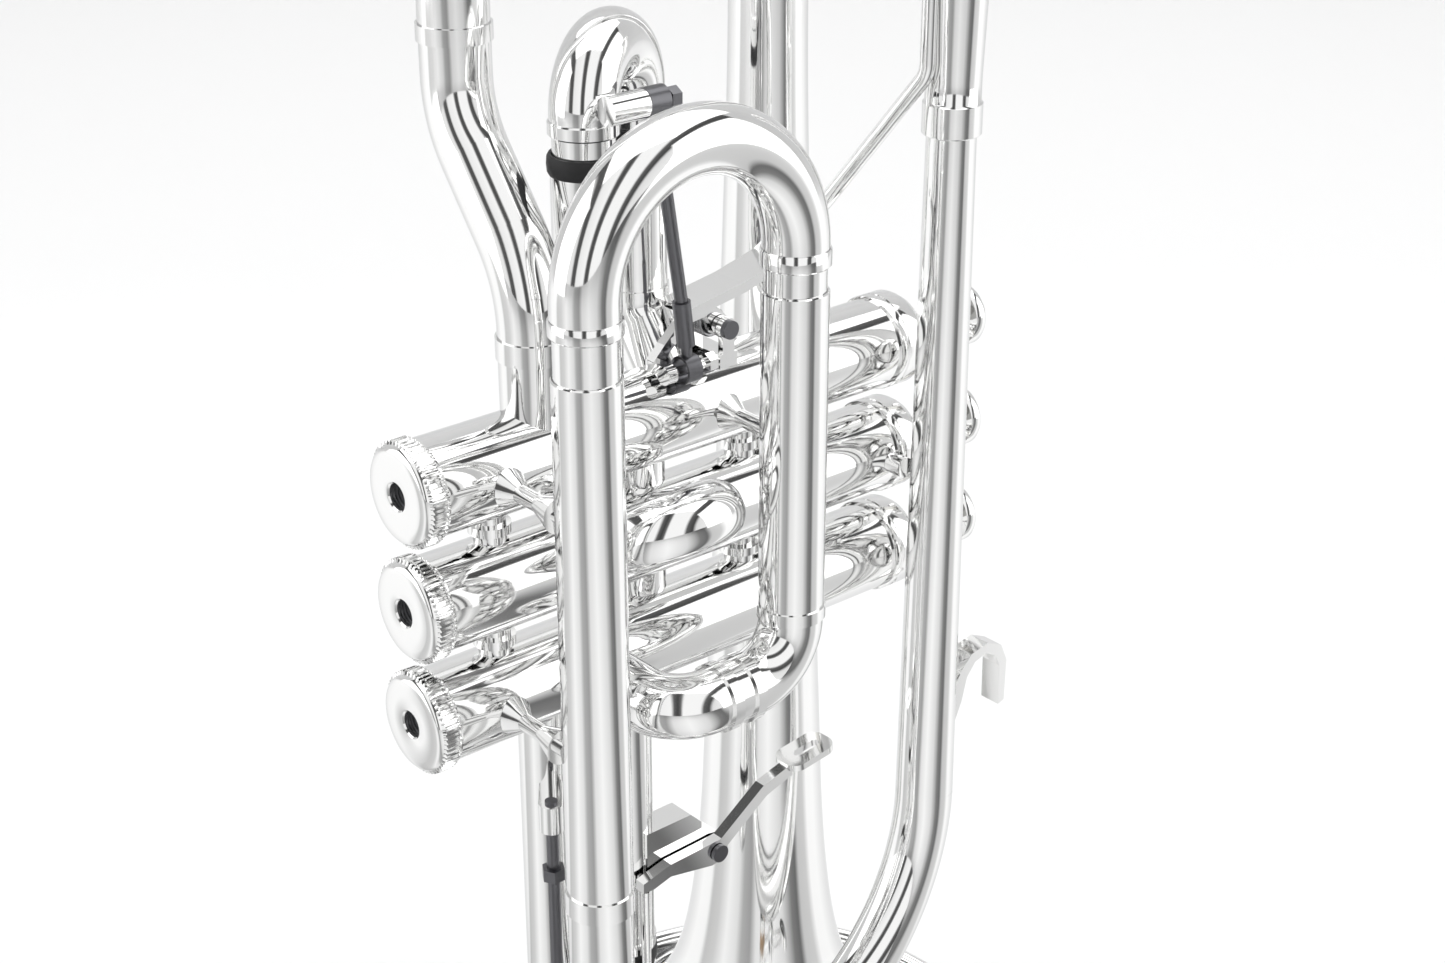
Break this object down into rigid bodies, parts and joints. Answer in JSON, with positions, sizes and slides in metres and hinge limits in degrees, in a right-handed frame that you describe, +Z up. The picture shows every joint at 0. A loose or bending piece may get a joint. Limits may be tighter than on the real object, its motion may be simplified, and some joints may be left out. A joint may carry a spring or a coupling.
{
  "type": "cornet",
  "caption": "Shepherd's-crook B-flat cornet standing on its bell, with piston valves, pull slides, a thumb trigger and a finger trigger",
  "frame": {"origin": "centre of the bell's rim plane, on the bell's axis", "axes": "+Z up the bell towards the player's end, +X towards the finger buttons, -Y the right-hand side with the main tuning slide"},
  "size_m": [0.1694, 0.1224, 0.3324],
  "materials": {
    "silver_plate": "polished silver plate",
    "nickel": "polished nickel plate",
    "dark_steel": "satin dark steel",
    "spring_steel": "drawn spring wire",
    "black_rubber": "matt black rubber",
    "mother_of_pearl": "polished pearl",
    "felt": "dense felt",
    "cork": "cut cork"
  },
  "bodies": {
    "cornet_body": {"bell": "silver_plate", "bell_crook": "silver_plate", "bell_rim_wire": "silver_plate", "bell_tail": "silver_plate", "body_braces": "silver_plate", "bottom_caps": "silver_plate", "finger_hook": "silver_plate", "finger_lever_bracket": "silver_plate", "first_slide_outer_tubes": "silver_plate", "front_bow": "silver_plate", "leadpipe": "silver_plate", "main_lower_outer_tube": "silver_plate", "main_slide_elbow": "silver_plate", "main_upper_outer_tube": "silver_plate", "mouthpiece_receiver": "silver_plate", "pivot_screws": "dark_steel", "second_slide_outer_tubes": "silver_plate", "slide_bumpers": "black_rubber", "tail_brace": "silver_plate", "third_slide_outer_tubes": "silver_plate", "third_slide_stop_rod": "dark_steel", "third_stop_bracket": "silver_plate", "thumb_lever_bracket": "silver_plate", "thumb_lever_spring": "spring_steel", "top_caps": "silver_plate", "tube_ferrules": "silver_plate", "valve_casing_1": "silver_plate", "valve_casing_2": "silver_plate", "valve_casing_3": "silver_plate", "valve_felts": "felt", "valve_knuckles_and_stays": "silver_plate", "valve_spring_1": "spring_steel", "valve_spring_2": "spring_steel", "valve_spring_3": "spring_steel", "water_key_saddle": "silver_plate", "z_brace": "silver_plate"},
    "main_slide": {"main_slide_bow": "silver_plate", "main_slide_inner_tubes": "silver_plate", "main_slide_ferrules": "silver_plate"},
    "first_slide": {"first_slide_bow": "silver_plate", "first_slide_inner_tubes": "silver_plate", "trigger_rod": "dark_steel", "trigger_ball_joints": "dark_steel"},
    "second_slide": {"second_slide_bow": "silver_plate", "second_slide_inner_tubes": "silver_plate"},
    "third_slide": {"third_slide_bow": "silver_plate", "third_slide_inner_tubes": "silver_plate"},
    "thumb_lever": {"thumb_lever": "silver_plate"},
    "finger_lever": {"finger_lever": "silver_plate"},
    "water_key": {"water_key": "silver_plate", "water_key_cork": "cork"},
    "valve_1": {"piston_1": "nickel", "finger_button_1": "silver_plate", "pearl_inlay_1": "mother_of_pearl"},
    "valve_2": {"piston_2": "nickel", "finger_button_2": "silver_plate", "pearl_inlay_2": "mother_of_pearl"},
    "valve_3": {"piston_3": "nickel", "finger_button_3": "silver_plate", "pearl_inlay_3": "mother_of_pearl"}
  },
  "joints": [
    {"name": "main_slide_pull", "type": "slide", "parent": "cornet_body", "child": "main_slide", "axis": [0, 0, 1], "range_m": [0, 0.022]},
    {"name": "first_slide_extend", "type": "slide", "parent": "cornet_body", "child": "first_slide", "axis": [0, 0, 1], "range_m": [0, 0.0055], "stiffness_N_per_m": 120, "springref_m": -0.01},
    {"name": "thumb_lever_press", "type": "hinge", "parent": "cornet_body", "child": "thumb_lever", "pos_m": [-0.0339, -0.022, 0.2144], "axis": [0, 1, 0], "range_deg": [0, 26.3]},
    {"name": "second_slide_pull", "type": "slide", "parent": "cornet_body", "child": "second_slide", "axis": [0, -0.8829, 0.4695], "range_m": [0, 0.008]},
    {"name": "third_slide_extend", "type": "slide", "parent": "cornet_body", "child": "third_slide", "axis": [0, 0, -1], "range_m": [0, 0.0098], "stiffness_N_per_m": 150, "springref_m": -0.015},
    {"name": "finger_lever_pull", "type": "hinge", "parent": "cornet_body", "child": "finger_lever", "pos_m": [-0.0372, -0.0268, 0.095], "axis": [0, -1, 0], "range_deg": [0, 28.5]},
    {"name": "water_key_open", "type": "hinge", "parent": "cornet_body", "child": "water_key", "pos_m": [-0.02435, -0.04523, 0.03972], "axis": [0, -1, 0], "range_deg": [0, 12], "stiffness_Nm_per_rad": 0.05, "springref_deg": -22.92},
    {"name": "valve_1_press", "type": "slide", "parent": "cornet_body", "child": "valve_1", "axis": [-1, 0, 0], "range_m": [0, 0.015], "stiffness_N_per_m": 90, "springref_m": -0.02, "deforming": ["valve_spring_1"]},
    {"name": "valve_2_press", "type": "slide", "parent": "cornet_body", "child": "valve_2", "axis": [-1, 0, 0], "range_m": [0, 0.015], "stiffness_N_per_m": 90, "springref_m": -0.02, "deforming": ["valve_spring_2"]},
    {"name": "valve_3_press", "type": "slide", "parent": "cornet_body", "child": "valve_3", "axis": [-1, 0, 0], "range_m": [0, 0.015], "stiffness_N_per_m": 90, "springref_m": -0.02, "deforming": ["valve_spring_3"]}
  ],
  "couplings": [
    {"joint": "thumb_lever_press", "follows": "first_slide_extend", "rad_per_m": 82.5},
    {"joint": "finger_lever_pull", "follows": "third_slide_extend", "rad_per_m": 50}
  ]
}
